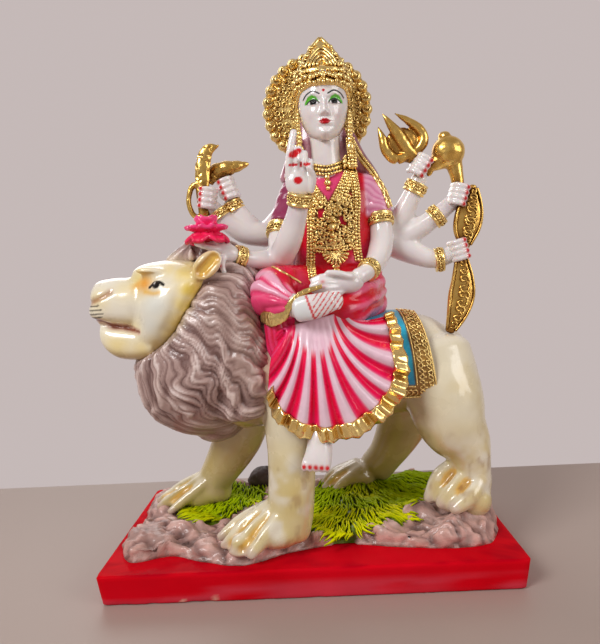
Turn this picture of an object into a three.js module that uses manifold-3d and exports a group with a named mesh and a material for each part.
// A painted cast figure of a goddess who rides side-saddle on a standing lion, on rocky ground on a red
// plinth. Millimetres, +Z up, with the origin at the centre of the plinth's underside. The lion faces -X and
// the goddess -Y.
import * as THREE from "three";
import { mergeVertices } from "three/addons/utils/BufferGeometryUtils.js";
import { SimplifyModifier } from "three/addons/modifiers/SimplifyModifier.js";
import Module from "manifold-3d";

const wasm = await Module();
wasm.setup();

// Driving sizes of the plinth, a slab with a little draft.
const plinthWidth = 220;
const plinthDepth = 120;
const plinthHeight = 16.5;
const plinthDraft = 1.6;
const plinthCorner = 3;
const plinthEdge = 1.2;

// The rocky ground: its thickness over the plinth, the run of its bank, and the bare margin round it.
const groundThickness = 6;
const groundBank = 7;
const groundMargin = 2;

// The figure's height over the plinth, from which the sculpture takes its scale. The places below are drawn
// at the real size, with z from the plinth's underside, so that the scale is 1 at the real height.
const figureHeight = 280.5;
const drawnHeight = 280.5;
const drawnBase = 16.5;
const sculptScale = figureHeight / drawnHeight;

const fullTurn = 2 * Math.PI;
const inRadians = THREE.MathUtils.degToRad;

function onSculpture([x, y, z]) {
  return [x * sculptScale, y * sculptScale, plinthHeight + (z - drawnBase) * sculptScale];
}

// Solids

const sameCorner = 1e-4;

function geometryOf(points, faces) {
  const geometry = new THREE.BufferGeometry();
  geometry.setAttribute("position", new THREE.Float32BufferAttribute(points.flat(), 3));
  geometry.setIndex(faces);
  return geometry;
}

// A closed geometry as a solid, turned the right way out.
function solid(geometry) {
  geometry.deleteAttribute("normal");
  geometry.deleteAttribute("uv");
  const merged = mergeVertices(geometry, sameCorner);
  const triVerts = new Uint32Array(merged.index.array);
  const vertProperties = merged.attributes.position.array;
  const made = new wasm.Manifold(new wasm.Mesh({ numProp: 3, vertProperties, triVerts }));
  if (made.volume() > 0) return made;
  return new wasm.Manifold(new wasm.Mesh({ numProp: 3, vertProperties, triVerts: triVerts.reverse() }));
}

const join = (solids) => solids.reduce((whole, one) => whole.add(one));

// A skin over closed loops with as many points each, closed by a fan to a point at each end.
function skin(loops, start, end) {
  const count = loops[0].length;
  const points = [start, ...loops.flat(), end];
  const at = (loop, i) => 1 + loop * count + (i % count);
  const last = points.length - 1;
  const faces = [];
  for (let i = 0; i < count; i++) {
    faces.push(0, at(0, i + 1), at(0, i));
    for (let k = 0; k + 1 < loops.length; k++) {
      faces.push(at(k, i), at(k, i + 1), at(k + 1, i));
      faces.push(at(k, i + 1), at(k + 1, i + 1), at(k + 1, i));
    }
    faces.push(last, at(loops.length - 1, i), at(loops.length - 1, i + 1));
  }
  return solid(geometryOf(points, faces));
}

// A curved sheet over shares u and v from 0 to 1, closed behind by a fan from its border to a point inside.
function sheet(columns, rows, pointAt, inside) {
  const points = [];
  for (let j = 0; j <= rows; j++) {
    for (let i = 0; i <= columns; i++) points.push(pointAt(i / columns, j / rows));
  }
  const at = (i, j) => j * (columns + 1) + i;
  const faces = [];
  for (let j = 0; j < rows; j++) {
    for (let i = 0; i < columns; i++) {
      faces.push(at(i, j), at(i + 1, j), at(i, j + 1));
      faces.push(at(i + 1, j), at(i + 1, j + 1), at(i, j + 1));
    }
  }
  const heart = points.length;
  points.push(inside);
  for (let i = 0; i < columns; i++) {
    faces.push(at(i + 1, 0), at(i, 0), heart);
    faces.push(at(i, rows), at(i + 1, rows), heart);
  }
  for (let j = 0; j < rows; j++) {
    faces.push(at(0, j), at(0, j + 1), heart);
    faces.push(at(columns, j + 1), at(columns, j), heart);
  }
  return solid(geometryOf(points, faces));
}

// A limb: an oval section swept along a smooth line through its stations [x, y, z, half width, half depth],
// with blunt ends, or with round ones of so many `caps` rings. The half width lies along `wide`. `relief`
// carves it: a factor on the section at a share of the length and an angle.
function limb(
  stations,
  { sides = 8, rings = 1, wide = [1, 0, 0], caps = 0, round = 0.5, relief = () => 1 } = {},
) {
  const smooth = (points) => new THREE.CatmullRomCurve3(points, false, "catmullrom");
  const line = smooth(stations.map((at) => new THREE.Vector3(...onSculpture(at))));
  const halvesAt = ([, , , a, b = a]) => new THREE.Vector3(a, b, 0).multiplyScalar(sculptScale);
  const girth = smooth(stations.map(halvesAt));
  const wideWay = new THREE.Vector3(...wide);
  const capDepth = (t) => Math.min(girth.getPoint(t).x, girth.getPoint(t).y) * round;
  const loopAt = (t, push, shrink) => {
    const along = line.getTangent(t);
    const across = wideWay.clone().addScaledVector(along, -wideWay.dot(along)).normalize();
    const up = new THREE.Vector3().crossVectors(along, across);
    const centre = line.getPoint(t).addScaledVector(along, push);
    const size = girth.getPoint(t).multiplyScalar(shrink);
    return Array.from({ length: sides }, (_, i) => {
      const angle = (i / sides) * fullTurn;
      const carved = relief(t, angle);
      const corner = centre.clone().addScaledVector(across, size.x * carved * Math.cos(angle));
      return corner.addScaledVector(up, size.y * carved * Math.sin(angle)).toArray();
    });
  };
  const capLoop = (t, way, k) => {
    const turn = ((k / (caps + 1)) * Math.PI) / 2;
    return loopAt(t, way * capDepth(t) * Math.sin(turn), Math.cos(turn));
  };
  const steps = (stations.length - 1) * rings;
  const loops = [];
  for (let k = caps; k > 0; k--) loops.push(capLoop(0, -1, k));
  for (let k = 0; k <= steps; k++) loops.push(loopAt(k / steps, 0, 1));
  for (let k = 1; k <= caps; k++) loops.push(capLoop(1, 1, k));
  const pole = (t, way) => line.getPoint(t).addScaledVector(line.getTangent(t), way * capDepth(t)).toArray();
  return skin(loops, pole(0, -1), pole(1, 1));
}

// An egg-shaped lump at a place on the sculpture, with three half sizes, tilted about Y and turned about Z.
function lump(place, halves, { turn = 0, tilt = 0, sides = 8, rows = 5 } = {}) {
  const geometry = new THREE.SphereGeometry(1, sides, rows);
  geometry.scale(...halves.map((half) => half * sculptScale));
  geometry.rotateY(inRadians(tilt));
  geometry.rotateZ(inRadians(turn));
  geometry.translate(...onSculpture(place));
  return solid(geometry);
}

// Plinth

function plinth() {
  const corners = [[1, 1], [-1, 1], [-1, -1], [1, -1]];
  const cornerSteps = 3;
  const outline = (inset, z) => {
    const halfX = plinthWidth / 2 - inset - plinthCorner;
    const halfY = plinthDepth / 2 - inset - plinthCorner;
    return corners.flatMap(([sx, sy], corner) =>
      Array.from({ length: cornerSteps + 1 }, (_, k) => {
        const angle = ((corner + k / cornerSteps) * Math.PI) / 2;
        const across = sx * halfX + plinthCorner * Math.cos(angle);
        return [across, sy * halfY + plinthCorner * Math.sin(angle), z];
      }),
    );
  };
  const loops = [
    outline(plinthDraft + plinthEdge, 0),
    outline(plinthDraft, plinthEdge),
    outline(0, plinthHeight - plinthEdge),
    outline(plinthEdge, plinthHeight),
  ];
  return skin(loops, [0, 0, 0], [0, 0, plinthHeight]);
}

// Ground

// The edge of the rock, as shares of the plinth's half width and half depth inside the margin.
const shore = [
  [-0.9, -0.79], [-0.7, -0.71], [-0.52, -0.85], [-0.32, -0.93], [-0.1, -0.73], [0.16, -0.62],
  [0.45, -0.72], [0.72, -0.78], [0.9, -0.68], [0.985, -0.3], [0.97, 0.15], [0.93, 0.62], [0.78, 0.9],
  [0.42, 0.86], [0.05, 0.93], [-0.35, 0.86], [-0.72, 0.93], [-0.95, 0.82], [-0.99, 0.4],
  [-0.93, -0.05], [-0.985, -0.42],
];

// Rises in the rock: [x, y, height, spread].
const rises = [
  [90, -18, 7, 16], [101, -22, 4, 9], [-92, -26, 5, 14], [-70, -20, 3.5, 10], [-84, 20, 3, 16],
  [28, 28, 4, 22], [40, -8, 2.5, 16], [-52, 8, 2.5, 16], [-60, 44, 4, 14], [72, 40, 4, 14],
];

function groundHeight(x, y) {
  const rise = ([rx, ry, height, spread]) =>
    height * Math.exp(-((x - rx) ** 2 + (y - ry) ** 2) / spread ** 2);
  const furrows = 0.7 * Math.sin(0.21 * x + 0.35 * y) + 0.6 * Math.sin(0.33 * x - 0.19 * y + 1);
  return rises.reduce((sum, one) => sum + rise(one), groundThickness + furrows);
}

function ground() {
  const halfX = plinthWidth / 2 - groundMargin;
  const halfY = plinthDepth / 2 - groundMargin;
  const rimPoints = 40;
  const shares = [1, 0.97, 0.88, 0.66, 0.34];
  const edge = new THREE.CatmullRomCurve3(
    shore.map(([sx, sy]) => new THREE.Vector3(sx * halfX, sy * halfY, 0)),
    true,
  );
  const rim = edge.getPoints(rimPoints).slice(0, -1);
  const loops = shares.map((share) =>
    rim.map((p) => {
      const bank = Math.min(1, ((1 - share) * p.length()) / groundBank);
      const height = groundHeight(p.x * share, p.y * share) * Math.sin((bank * Math.PI) / 2);
      return [p.x * share, p.y * share, plinthHeight + height * sculptScale];
    }),
  );
  const top = [0, 0, plinthHeight + groundHeight(0, 0) * sculptScale];
  const boulder = lump([-27, 46, 26], [11, 9, 9], { rows: 4 });
  return join([skin(loops, [0, 0, plinthHeight], top), boulder]);
}

// Lion

const alongY = [0, 1, 0];
const alongZ = [0, 0, 1];

function lionTrunk() {
  const trunk = limb(
    [
      [-34, -13, 111, 29, 33], [-8, -9, 110, 29, 31], [22, -4, 108.5, 27, 29.5], [52, 2, 108, 26.5, 29.5],
      [72, 6, 109, 25.5, 27.5], [84, 7, 109, 20, 21],
    ],
    { sides: 14, wide: alongY, caps: 1, round: 0.75 },
  );
  // The tail lies against the far thigh and ends in a tuft.
  const tail = limb(
    [
      [90, 14, 120, 4], [96, 25, 108, 3.4], [95, 33, 90, 3], [93, 37, 74, 3], [94, 38, 62, 4.6],
      [95, 38, 50, 2.5],
    ],
    { sides: 6 },
  );
  return join([trunk, tail]);
}

// A paw: a pad and four toes that fan out from its front, each from a knuckle over a bend to a claw.
function paw(pad, halves, turn, toes) {
  const toe = ([knuckle, claw, girth]) => {
    const bend = knuckle.map((from, axis) => (from + claw[axis]) / 2 + (axis === 2 ? 1.6 : 0));
    return limb([[...knuckle, girth], [...bend, girth], [...claw, girth * 0.7]], { sides: 5 });
  };
  return join([lump(pad, halves, { turn, rows: 4 }), ...toes.map(toe)]);
}

function lionLegs() {
  const nearFore = limb(
    [
      [-5, -22, 112, 21, 13], [-7, -28, 92, 17, 14], [-8, -34, 70, 13.5, 12.8], [-9, -38, 52, 12.8, 12.2],
      [-9.5, -39, 38, 13.2, 12.6], [-11, -40, 29, 14, 12.5],
    ],
    { sides: 9 },
  );
  const nearForePaw = paw([-18, -42, 28], [17, 13, 9.5], 35, [
    [[-28, -37, 27.5], [-46, -40, 23], 5],
    [[-27, -42, 28.5], [-40.5, -49, 23], 5.2],
    [[-22, -45.5, 28.5], [-31, -53.5, 23], 5.4],
    [[-15, -46.5, 27.5], [-18.5, -53, 23], 5.4],
  ]);
  const farFore = limb(
    [
      [-28, 4, 104, 17, 13], [-35, 8, 84, 16, 13], [-43, 10, 65, 15, 12.5], [-52, 13, 50, 12.6, 12],
      [-59, 15, 39, 11, 11.5], [-62, 15, 31, 12.5, 12],
    ],
  );
  const farForePaw = paw([-71, 14, 29], [16, 12, 9], 8, [
    [[-80, 21, 28], [-91, 24, 24], 4.8],
    [[-82, 15.5, 29], [-94, 16, 24], 5],
    [[-81, 9, 28.5], [-91.5, 7.5, 24], 5],
    [[-76, 5, 27.5], [-84, 1, 24], 4.8],
  ]);
  const nearHind = limb(
    [
      [73, -6, 112, 25, 19], [78, -14, 94, 22.5, 18], [82.5, -18, 76, 19.5, 15], [90, -19, 62, 14, 12],
      [92.5, -19, 49, 11, 11], [90, -20, 38, 12, 12],
    ],
    { sides: 9 },
  );
  const nearHindPaw = paw([78, -23, 37], [20, 13, 12.5], 12, [
    [[67, -19, 37], [60, -23, 31], 5.8],
    [[67, -25, 37], [62, -31, 30], 6],
    [[73, -29, 36], [70, -35.5, 29.5], 6],
    [[80, -30.5, 35], [79, -36, 29.5], 5.8],
  ]);
  const farHind = limb(
    [
      [70, 20, 112, 24, 16], [68, 27, 90, 22, 15], [62, 31, 71, 18, 14], [55, 34, 56, 15, 12],
      [46, 35, 44, 12, 11], [37, 36, 34, 11.5, 11],
    ],
  );
  const farHindPaw = paw([28, 35, 29], [16, 12, 9], -6, [
    [[19, 42, 28], [10, 43.5, 24], 4.8],
    [[18, 36.5, 29], [8, 37, 24], 5],
    [[18, 30.5, 28.5], [9, 29.5, 24], 5],
    [[22, 26.5, 28], [15, 23.5, 24], 4.8],
  ]);
  return join([nearFore, nearForePaw, farFore, farForePaw, nearHind, nearHindPaw, farHind, farHindPaw]);
}

// An ear: a leaf-shaped cup that leans out and back.
function ear(x, y, z, side) {
  const leaf = limb(
    [[x - 4, y, z - 8, 6, 4], [x, y + side, z, 8, 4.6], [x + 5, y + 2 * side, z + 6.5, 6, 3]],
    { caps: 1, round: 1 },
  );
  return leaf.subtract(lump([x - 1.5, y + 5 * side, z], [5.4, 4.4, 7.4], { rows: 4 }));
}

function lionHead() {
  const skull = limb(
    [
      [-46, -15, 163, 26, 23], [-63, -18, 159, 26, 21.5], [-77, -20, 156, 21.5, 19],
      [-87, -21, 153.5, 17, 17.5],
    ],
    { sides: 10, wide: alongY },
  );
  const muzzle = limb(
    [
      [-80, -21, 151, 17, 15], [-92, -22, 152.5, 14.4, 14], [-102, -23, 152.5, 13, 13.2],
      [-108, -23.5, 153, 10, 10.6],
    ],
    { sides: 10, wide: alongY, caps: 1 },
  );
  const jaw = limb(
    [
      [-68, -19, 142, 19, 13], [-84, -21, 134.5, 15, 10.5], [-95, -22, 131.5, 12.4, 9],
      [-103, -23, 132, 10, 8],
    ],
    { sides: 8, wide: alongY, caps: 1, round: 0.85 },
  );
  const nose = lump([-109, -23.6, 159.5], [4.2, 5, 4.6], { rows: 4 });
  const cheeks = [-32, -6].map((y) => lump([-70, y, 147], [17, 11, 16]));
  return join([skull, muzzle, jaw, nose, ...cheeks, ear(-49.5, -35, 171, -1), ear(-52, 0, 173, 1)]);
}

// The mane: wavy locks that fall round the neck and the chest, with a tuft between the ears.
function mane() {
  const lockCount = 13;
  const lockDepth = 0.055;
  const locks = (t, angle) => 1 + lockDepth * Math.sin(lockCount * angle + 3.2 * Math.sin(9 * t) + 2 * t);
  const fall = limb(
    [
      [-45, -13, 180, 14, 18], [-42, -13, 164, 23, 30], [-42, -13, 146, 26, 36], [-51, -13, 126, 37, 38],
      [-54, -13, 106, 39, 37], [-52, -12, 89, 31, 29], [-48, -11, 76, 18, 18],
    ],
    { sides: 3 * lockCount, rings: 2, relief: locks },
  );
  const tuft = limb([[-68, -17, 176, 5, 8], [-58, -16, 180, 8, 12], [-44, -14, 178, 8, 12]]);
  return join([fall, tuft]);
}

// A cloth over the lion's near side, behind the skirt, from the spine down to the flank.
function saddleCloth() {
  const topAngle = -14;
  const wrap = 126;
  return sheet(
    4,
    6,
    (u, v) => {
      const turn = inRadians(topAngle + wrap * v);
      return onSculpture([36 + u * (29 + 7 * v), 3 - 33 * Math.sin(turn), 108.3 + 31.4 * Math.cos(turn)]);
    },
    onSculpture([52, 3, 108]),
  );
}

// Goddess

function body() {
  const torso = limb(
    [
      [22, 3, 147, 31, 22], [22, 2, 158, 29, 20], [21.5, 0, 174, 23.5, 16.5], [21, -1, 190, 24, 16],
      [21, -1, 203, 26, 15.5], [20, 0, 215, 24, 12], [19, -1, 223, 12, 9],
    ],
    { sides: 12 },
  );
  const neck = limb([[19, -2, 220, 9, 9], [18.8, -3.5, 230, 8.2, 8], [18.6, -4, 243, 8.4, 9]]);
  const head = limb(
    [
      [18.5, -8.5, 241.5, 5.4, 6.5], [18.5, -7, 246.5, 9.8, 11.5], [18.5, -5.5, 255, 12.8, 14],
      [18.5, -4.5, 265, 13.4, 14.5], [18.5, -4, 273, 12, 13],
    ],
    { sides: 12 },
  );
  const nose = limb(
    [[18.5, -18.6, 259, 1.1, 1.4], [18.5, -20.2, 254, 1.6, 1.8], [18.5, -20.6, 251.8, 2, 1.6]],
    { sides: 5 },
  );
  return join([torso, neck, head, nose]);
}

// A thin veil from the crown down the back.
function veil() {
  return limb(
    [
      [17, 6, 262, 20, 5], [16.5, 7, 246, 20.5, 7], [18.5, 8, 231, 27, 8], [20.5, 9, 214, 33, 8.5],
      [22.5, 9, 194, 34.5, 8], [22.5, 9, 170, 30, 9], [22, 9, 150, 28, 9],
    ],
    { sides: 12 },
  );
}

// A palm with fingers. Each finger is three places: root, bend and tip.
function hand(palm, halves, fingers, { turn = 0, tilt = 0, girth = 1.9 } = {}) {
  const taper = 0.12;
  const thinning = (place, i) => [...place, girth * (1 - taper * i)];
  const finger = (places) => limb(places.map(thinning), { sides: 5 });
  return join([lump(palm, halves, { turn, tilt, sides: 7, rows: 4 }), ...fingers.map(finger)]);
}

// A fist round an upright grip: a palm, and four fingers that curl over its front one above the other, along
// `rise`.
function fist(place, rise, tilt) {
  const at = (share) => [place[0] + share * rise[0], place[1] - 3, place[2] + share * rise[1], 6.2, 3.6];
  const fingers = 4;
  const knuckles = (t) => 0.8 + 0.28 * Math.abs(Math.sin(fingers * Math.PI * t));
  const curl = limb([at(-1), at(1)], { sides: 6, rings: 2 * fingers, relief: knuckles });
  return join([lump(place, [6, 5, 7], { tilt, sides: 7, rows: 4 }), curl]);
}

function rightArms() {
  const upper = limb([[-2, 0, 214, 8.5], [-7, -4, 201, 8], [-10, -12, 185, 7.4], [-8, -20, 175, 7.5]]);
  const forearm = limb([[-7.5, -22, 172.5, 7.6], [-4, -28, 182, 7], [0.5, -33, 193, 5.8], [3, -37, 203, 5]]);
  const blessing = hand([3, -38.5, 211], [7.4, 3.8, 8.4], [
    [[-2.5, -39, 217], [-1, -39.5, 227], [1.5, -39, 236]],
    [[1.5, -39.5, 218], [3, -41, 227], [4, -43, 221.5]],
    [[5, -39.5, 217.5], [6, -43, 224], [5, -44.5, 218]],
    [[8, -39, 215.5], [9, -42.5, 220.5], [7.5, -44, 215]],
    [[8.5, -39, 207], [11, -42, 213], [10, -44, 218]],
  ]);
  const lotusArm = limb([
    [-6, -14, 173, 7.6], [-16, -19, 172.5, 6], [-26, -24, 173.5, 4.6], [-33, -28, 175.5, 4.4],
  ]);
  const lotusHand = hand([-38, -30, 177.5], [8, 5.5, 5.5], [
    [[-42, -33, 180], [-48, -35, 183], [-53, -34, 183.5]],
    [[-43, -30, 181], [-49, -31, 185], [-54, -30, 186]],
    [[-42, -27, 181], [-48, -27, 185], [-52, -26, 187]],
    [[-35, -33, 174], [-36, -36, 169], [-35, -37, 165]],
  ], { tilt: 20 });
  const raised = limb([
    [-1, 6, 208, 7.5], [-10, 7, 196, 7.5], [-20, 7, 188, 7.6], [-29, 5, 196, 6], [-38.4, 4.6, 209, 5],
  ]);
  const second = limb([[-18, 4, 188, 7.4], [-30, 2, 189.5, 6.6], [-40, 0, 196, 5.4], [-49.6, -2, 207, 4.8]]);
  const conchHand = fist([-40, 4, 215], [-2.4, 6.6], -15);
  const bladeHand = fist([-51.5, -3, 210], [1, 6.6], 0);
  return join([upper, forearm, blessing, lotusArm, lotusHand, raised, second, conchHand, bladeHand]);
}

function leftArms() {
  const lap = limb([
    [45, -1, 213, 9], [49, -4, 198, 8.4], [49.5, -8, 184, 7.6], [47, -13, 174.5, 7.7], [43, -22, 168, 6.8],
    [37, -31, 163.5, 5.4], [31, -36, 160.5, 5],
  ]);
  const lapHand = hand([26, -38, 158.5], [10, 5.5, 6], [
    [[20, -40, 161], [13, -42.5, 162], [7, -42, 160]],
    [[19, -41.5, 158], [12, -44, 158.5], [6.5, -43.5, 157]],
    [[19, -42, 155.5], [13, -44.5, 155], [8, -44, 154.5]],
    [[21, -41, 153.5], [16, -44, 152.5], [12, -44.5, 152.5]],
    [[26, -42, 161], [20, -44.5, 163], [15, -44, 163.5]],
  ], { turn: 15 });
  const tridentArm = limb([
    [44, 5, 206, 7.5], [53, 5, 190, 8], [60, 3, 192, 7.4], [66, 0, 203, 6], [72, -2.4, 215.5, 4.8],
  ]);
  const maceArm = limb([
    [50, 5, 188, 7.5], [60, 4, 182.5, 7.4], [72, 1, 187.5, 6.6], [81, -2, 193.5, 5.2], [90.6, -3.4, 201, 4.8],
  ]);
  const bowArm = limb([
    [48, 5, 186, 8], [58, 4, 178.5, 8.2], [70, 1, 172, 6.8], [80, -2, 168.5, 5.4], [90, -3.4, 171.6, 5],
  ]);
  const tridentHand = fist([73, -3, 220.5], [4, 5.6], 30);
  const maceHand = fist([94, -4, 203.5], [2, 6.4], 10);
  const bowHand = fist([93.5, -4, 173.5], [-1.6, 6.4], -10);
  return join([lap, lapHand, tridentArm, maceArm, bowArm, tridentHand, maceHand, bowHand]);
}

// The right leg is folded on the lap with its sole to the front, and the left leg hangs down the lion's side.
function legs() {
  const foldedThigh = limb([[12, -4, 152, 17, 15], [-2, -18, 155, 14.5, 14], [-15, -30, 155.5, 13.5, 13]], {
    wide: alongZ,
    caps: 1,
  });
  const foldedShin = limb([[-16, -33, 154, 12.5, 12], [-9, -42, 149.5, 10, 9], [-1, -48, 147, 6.6, 5.5]], {
    wide: alongZ,
  });
  const sole = limb([[-1, -50, 145.5, 6.4, 3.6], [8, -52, 146.5, 6.4, 3.4], [18, -52, 149.5, 4.4, 3]], {
    wide: alongZ,
    caps: 1,
  });
  const hangingThigh = limb([[33, -4, 150, 17, 15], [28, -22, 149, 15, 14], [20, -33, 140.5, 12.4, 12.4]], {
    wide: alongY,
  });
  const hangingShin = limb([
    [17, -34, 132, 11], [11, -38, 106, 8.6], [7.5, -45, 82, 6.2], [7, -48, 76, 6.4, 6],
  ]);
  const foot = limb([[7, -48.5, 77, 6.8, 5.4], [6.5, -51, 70.5, 7.2, 4.6], [5, -52.5, 66, 7.4, 3.2]]);
  const toes = [-5.2, -2.4, 0.3, 2.9, 5.4].map((shift) =>
    lump([5 + shift, -53, 66 - shift * 0.12], [1.8, 2.2, 3], { sides: 5, rows: 3 }),
  );
  return join([foldedThigh, foldedShin, sole, hangingThigh, hangingShin, foot, ...toes]);
}

// The skirt falls from the lap over the hanging leg and the lion's flank, a fan of deep pleats with a raised
// hem.
const pleatCount = 11;
const pleatDepth = 2.3;
const hemRaise = 0.6;
const hemShare = 0.85;
const skirtHem = new THREE.CatmullRomCurve3(
  [
    [-13, -43, 134], [-17, -45, 118], [-19, -46, 102.5], [-15, -48.5, 90], [-3, -50.5, 81.5], [12, -50.5, 78],
    [30, -48.5, 81], [47, -45, 92], [56, -41, 106], [55.5, -38, 124], [52, -34, 141],
  ].map((p) => new THREE.Vector3(...p)),
);

function skirt() {
  const pointAt = (u, v) => {
    const hem = skirtHem.getPoint(u);
    const waist = new THREE.Vector3(-2 + 26 * u, -43.5 + 3 * u, 143);
    const bend = waist.clone().lerp(hem, 0.45);
    bend.y = Math.min(waist.y, hem.y) - 5;
    const fall = new THREE.QuadraticBezierCurve3(waist, bend, hem);
    const point = fall.getPoint(v);
    const pleat = pleatDepth * Math.sqrt(v) * Math.cos(pleatCount * u * fullTurn);
    point.y -= pleat + (v > hemShare ? hemRaise : 0);
    return onSculpture(point.toArray());
  };
  return sheet(pleatCount * 2, 7, pointAt, onSculpture([18, -16, 118]));
}

// Dress and jewels

function jewels() {
  const bands = [
    [[2.6, -36.2, 199.5, 6.6], [3.6, -38, 204.5, 6.6]],
    [[-28.5, -25, 174, 6.6], [-33, -27.6, 175.2, 6.6]],
    [[-35.6, 5, 203, 6.4], [-38.6, 5, 208, 6.4]],
    [[-43.5, -0.5, 199.5, 6], [-46, -1, 203, 6]],
    [[68.2, -1, 207.5, 6.4], [71, -2, 212.5, 6.4]],
    [[79, -1.4, 191.8, 6.6], [83.4, -2.4, 195, 6.6]],
    [[79.5, -2, 168, 7], [84, -2.6, 168.4, 7]],
    [[39.4, -27, 165.2, 7], [36.4, -31.6, 163, 7]],
    [[-9.4, -9.5, 190, 8.6], [-10.2, -12, 185.5, 8.6]],
    [[49.3, -5.2, 194, 9.2], [49.8, -6.8, 188.6, 9]],
  ].map((ends) => limb(ends, { sides: 7 }));
  const strands = [
    [[8, -7, 222], [5.5, -12, 212], [7, -15.4, 196], [8, -15.6, 180], [8, -21, 166], [9, -31, 158]],
    [[31, -7, 225], [33.5, -11.4, 214], [34, -15.4, 198], [33, -15.6, 182], [34, -18, 170], [33, -26, 163]],
  ].map((line) => limb(line.map((place) => [...place, 2.8, 2.4]), { sides: 5 }));
  const collarLine = [
    [8, -8.5, 226], [12, -13.5, 222.5], [19, -15.5, 221], [26, -13.5, 222.5], [31, -8.5, 226],
  ];
  const collar = limb(collarLine.map((place) => [...place, 2.2, 2]), { wide: alongZ, sides: 5 });
  const plate = limb([
    [20, -12, 207, 8, 5], [20, -13.5, 196, 9.5, 5], [20.5, -13.5, 184, 10, 5.5], [21, -14.5, 176, 9, 5],
  ]);
  const pendant = limb([[21, -17, 172, 6.4, 3], [21, -20, 166, 2.6, 3], [21, -24, 161, 2.4, 3]], {
    sides: 6,
  });
  return join([...bands, ...strands, collar, plate, pendant]);
}

// The crown rises in tiers to a point, before a round halo whose rim is set with beads.
function crownAndHalo() {
  const tiers = 4;
  const crown = limb(
    [
      [18.5, -5, 266.5, 14.6, 15.6], [18.6, -4, 274, 14.6, 13], [18.7, -2, 282, 11.4, 9],
      [18.8, -1, 290, 6.2, 5.4], [18.8, -0.5, 295.5, 1.6, 1.6],
    ],
    { sides: 12, rings: 3, round: 0.9, relief: (t) => 1 + 0.06 * Math.cos(tiers * t * fullTurn) },
  );
  const haloCentre = [17, 9, 262];
  const haloRadius = 34;
  const beadPitches = 33;
  const beadHeight = 2.6;
  const rimRun = 6;
  const rimBevel = 1.6;
  const lobePoints = 4;
  const disc = (radius, y, bead) =>
    Array.from({ length: lobePoints * beadPitches }, (_, i) => {
      const angle = (i / (lobePoints * beadPitches)) * fullTurn;
      const roundness = Math.abs(Math.cos(((i % lobePoints) / lobePoints) * Math.PI)) ** 0.6;
      const reach = radius - bead * (1 - roundness);
      return onSculpture([
        haloCentre[0] + reach * Math.cos(angle),
        haloCentre[1] + y,
        haloCentre[2] + reach * Math.sin(angle),
      ]);
    });
  const halo = skin(
    [
      disc(haloRadius - rimRun, -1.5, 0), disc(haloRadius - rimBevel, -2.4, beadHeight),
      disc(haloRadius, 0.4, beadHeight), disc(haloRadius - rimBevel, 2.6, beadHeight),
    ],
    onSculpture([haloCentre[0], haloCentre[1] - 2, haloCentre[2]]),
    onSculpture([haloCentre[0], haloCentre[1] + 4, haloCentre[2]]),
  );
  const headMiddle = 18.5;
  const drop = [[10, -4, 252, 2.4], [14, -6, 245, 2.8], [14.2, -7.5, 238, 3.2], [14, -8.5, 232, 2]];
  const earring = (side) => {
    const links = drop.map(([out, ...rest]) => [headMiddle + side * out, ...rest]);
    return limb(links, { sides: 5 });
  };
  return join([crown, halo, earring(-1), earring(1)]);
}

// What the hands hold

function trident() {
  const straight = limb(
    [[73, -4, 224, 3, 2.6], [66, -5, 230, 4, 2.8], [58, -5.5, 242, 3.4, 2.4], [51.6, -6, 251.4, 0.7]],
    { sides: 6 },
  );
  const curved = [
    [[66, -4.5, 229, 3], [58, -5, 226, 3.2], [52.6, -5, 231, 3], [51, -5, 238, 2.6], [49, -5.5, 244.5, 0.6]],
    [
      [68, -4.5, 229, 3], [74.4, -5, 235, 3.4], [73, -5, 241.5, 3], [66, -5, 247, 2.4],
      [58.6, -5.5, 251.6, 0.6],
    ],
  ].map((line) => limb(line, { sides: 6 }));
  return join([straight, ...curved, lump([63.5, -3.6, 234], [10, 1.8, 8], { tilt: 45, rows: 4 })]);
}

function mace() {
  const ball = lump([90.5, -4, 228.6], [8.6, 8, 8.4], { sides: 10, rows: 6 });
  const knob = lump([89, -4, 236.5], [4, 4, 3], { sides: 6, rows: 4 });
  const stem = limb([[91.5, -4, 222, 5], [93, -4, 212, 3.8], [94, -4, 200, 3.4]], { sides: 6 });
  const bud = limb([[87, -4, 226, 6.4], [81, -4, 223, 4.6], [75, -3, 220.5, 2.8]], { sides: 6 });
  return join([ball, knob, stem, bud]);
}

// The bow is two leaf-shaped limbs that meet at the grip.
function bow() {
  const scroll = (t, angle) => 1 + 0.08 * Math.sin(6 * angle + 22 * t);
  const upper = limb(
    [
      [101, -6, 208, 2.6, 2.4], [99.5, -6, 200, 6, 3], [98.5, -6, 191, 8, 3.2], [96.5, -6, 183, 7, 3.2],
      [95.5, -6, 176, 3.4, 3],
    ],
    { relief: scroll },
  );
  const lower = limb(
    [
      [92.6, -6, 170, 3, 2.8], [93.6, -6.5, 158, 5.6, 3], [92.4, -7, 147, 7.4, 3.2], [89.5, -8, 137, 6.2, 3],
      [85.2, -8, 127, 3.2, 2.8],
    ],
    { relief: scroll },
  );
  return join([upper, lower]);
}

function goad() {
  const blade = limb(
    [
      [-52.4, -4, 209, 3, 2.4], [-52.2, -4, 219, 3.6, 2.6], [-52, -4, 229, 3.6, 2.6],
      [-49.8, -4, 236.4, 3.4, 2.4], [-41.8, -4, 240, 0.8, 1.6],
    ],
    { sides: 6 },
  );
  const guardLine = [[-54, -4, 219.5], [-59, -4, 216.5], [-61, -4, 208], [-58.6, -4, 201], [-52, -3.5, 199]];
  const guard = limb(guardLine.map((place) => [...place, 1.8]), { sides: 6, wide: alongY });
  return join([blade, guard]);
}

function conch() {
  return limb(
    [[-49.5, 3, 221, 3.2, 3], [-44.5, 4, 226.5, 5, 4.4], [-36, 4, 228.2, 4.2, 4], [-26, 4, 230, 1, 1]],
    { wide: alongZ },
  );
}

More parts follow.
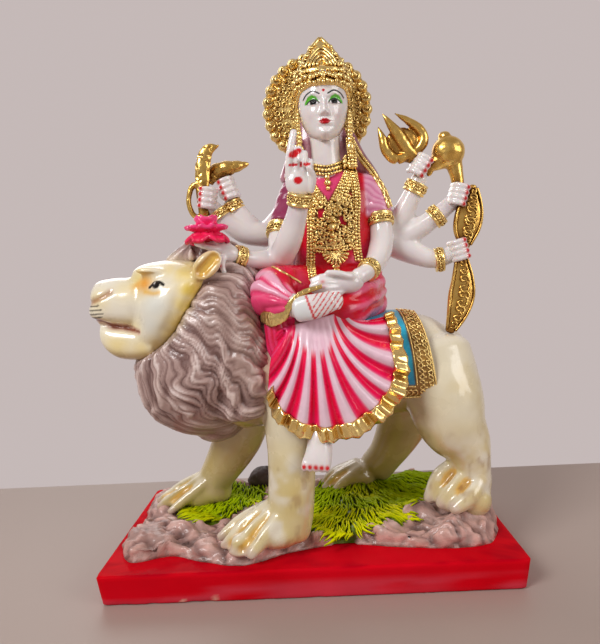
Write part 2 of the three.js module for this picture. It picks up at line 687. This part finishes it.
function lotus() {
  const heart = [-47, -32.5, 188];
  const petals = (count, reach, rise, halves) =>
    Array.from({ length: count }, (_, i) => {
      const turn = (i / count) * 360;
      const away = new THREE.Vector2(reach, 0).rotateAround(new THREE.Vector2(), inRadians(turn));
      const place = [heart[0] + away.x, heart[1] + away.y, heart[2] + rise];
      return lump(place, halves, { turn, tilt: -30, sides: 4, rows: 3 });
    });
  const core = lump([heart[0], heart[1], heart[2] + 2], [5, 5, 5.5], { sides: 6, rows: 4 });
  return join([core, ...petals(7, 6.4, -1.5, [4.4, 3.2, 2.2]), ...petals(5, 3.6, 4.5, [3.2, 2.6, 3.6])]);
}

// Facets without those that have collapsed to a line and those that lie back to back.
function soundFacets(facets) {
  const open = facets.filter(([a, b, c]) => a !== b && b !== c && c !== a);
  const keyOf = (facet) => facet.toSorted((a, b) => a - b).join();
  const twins = new Map();
  for (const facet of open) twins.set(keyOf(facet), (twins.get(keyOf(facet)) ?? 0) + 1);
  return open.filter((facet) => twins.get(keyOf(facet)) === 1);
}

// An edge that more than two facets share, if there is one.
function crowdedEdge(facets) {
  const uses = new Map();
  for (const [a, b, c] of facets) {
    for (const edge of [[a, b], [b, c], [c, a]]) {
      const key = edge.toSorted((p, q) => p - q).join();
      uses.set(key, (uses.get(key) ?? 0) + 1);
      if (uses.get(key) > 2) return edge;
    }
  }
  return null;
}

const smallestEdge = 0.01;

// The same solid with fewer facets: joined pieces leave many slivers where they meet.
async function lightened(made, facetGoal) {
  const dense = made.getMesh();
  const fine = mergeVertices(geometryOf([...dense.vertProperties], [...dense.triVerts]), smallestEdge);
  const surplus = fine.attributes.position.count * (1 - facetGoal / dense.numTri);
  const light = await new SimplifyModifier().modify(fine, Math.round(surplus));
  const corners = light.index.array;
  const count = corners.length / 3;
  let facets = soundFacets(Array.from({ length: count }, (_, i) => [...corners.slice(3 * i, 3 * i + 3)]));
  for (let edge = crowdedEdge(facets); edge; edge = crowdedEdge(facets)) {
    const [gone, kept] = edge;
    facets = soundFacets(facets.map((facet) => facet.map((corner) => (corner === gone ? kept : corner))));
  }
  return solid(geometryOf([...light.attributes.position.array], facets.flat()));
}

// The whole figure is one casting. Pockets that its pieces close in are part of the solid.
const figureFacets = 9700;
const smallestShell = 1;

async function figure() {
  const lion = [lionTrunk(), lionLegs(), lionHead(), mane(), saddleCloth()];
  const rider = [body(), veil(), rightArms(), leftArms(), legs(), skirt(), jewels(), crownAndHalo()];
  const held = [trident(), mace(), bow(), goad(), conch(), lotus()];
  const cast = join([ground(), ...lion, ...rider, ...held]);
  const shells = (await lightened(cast, figureFacets)).decompose();
  return join(shells.filter((shell) => shell.volume() > smallestShell));
}

// Assembly

function mesh(name, made, colour, roughness, metalness) {
  const cast = made.getMesh();
  const geometry = new THREE.BufferGeometry();
  geometry.setAttribute("position", new THREE.Float32BufferAttribute(cast.vertProperties, 3));
  geometry.setIndex(new THREE.BufferAttribute(cast.triVerts, 1));
  geometry.computeVertexNormals();
  const piece = new THREE.Mesh(
    geometry,
    new THREE.MeshStandardMaterial({ color: colour, roughness, metalness }),
  );
  piece.name = name;
  return piece;
}

const group = new THREE.Group();
group.add(mesh("plinth", plinth(), 0xb8041a, 0.25, 0));
group.add(mesh("figure", await figure(), 0xe8e0d8, 0.3, 0));

export default group;
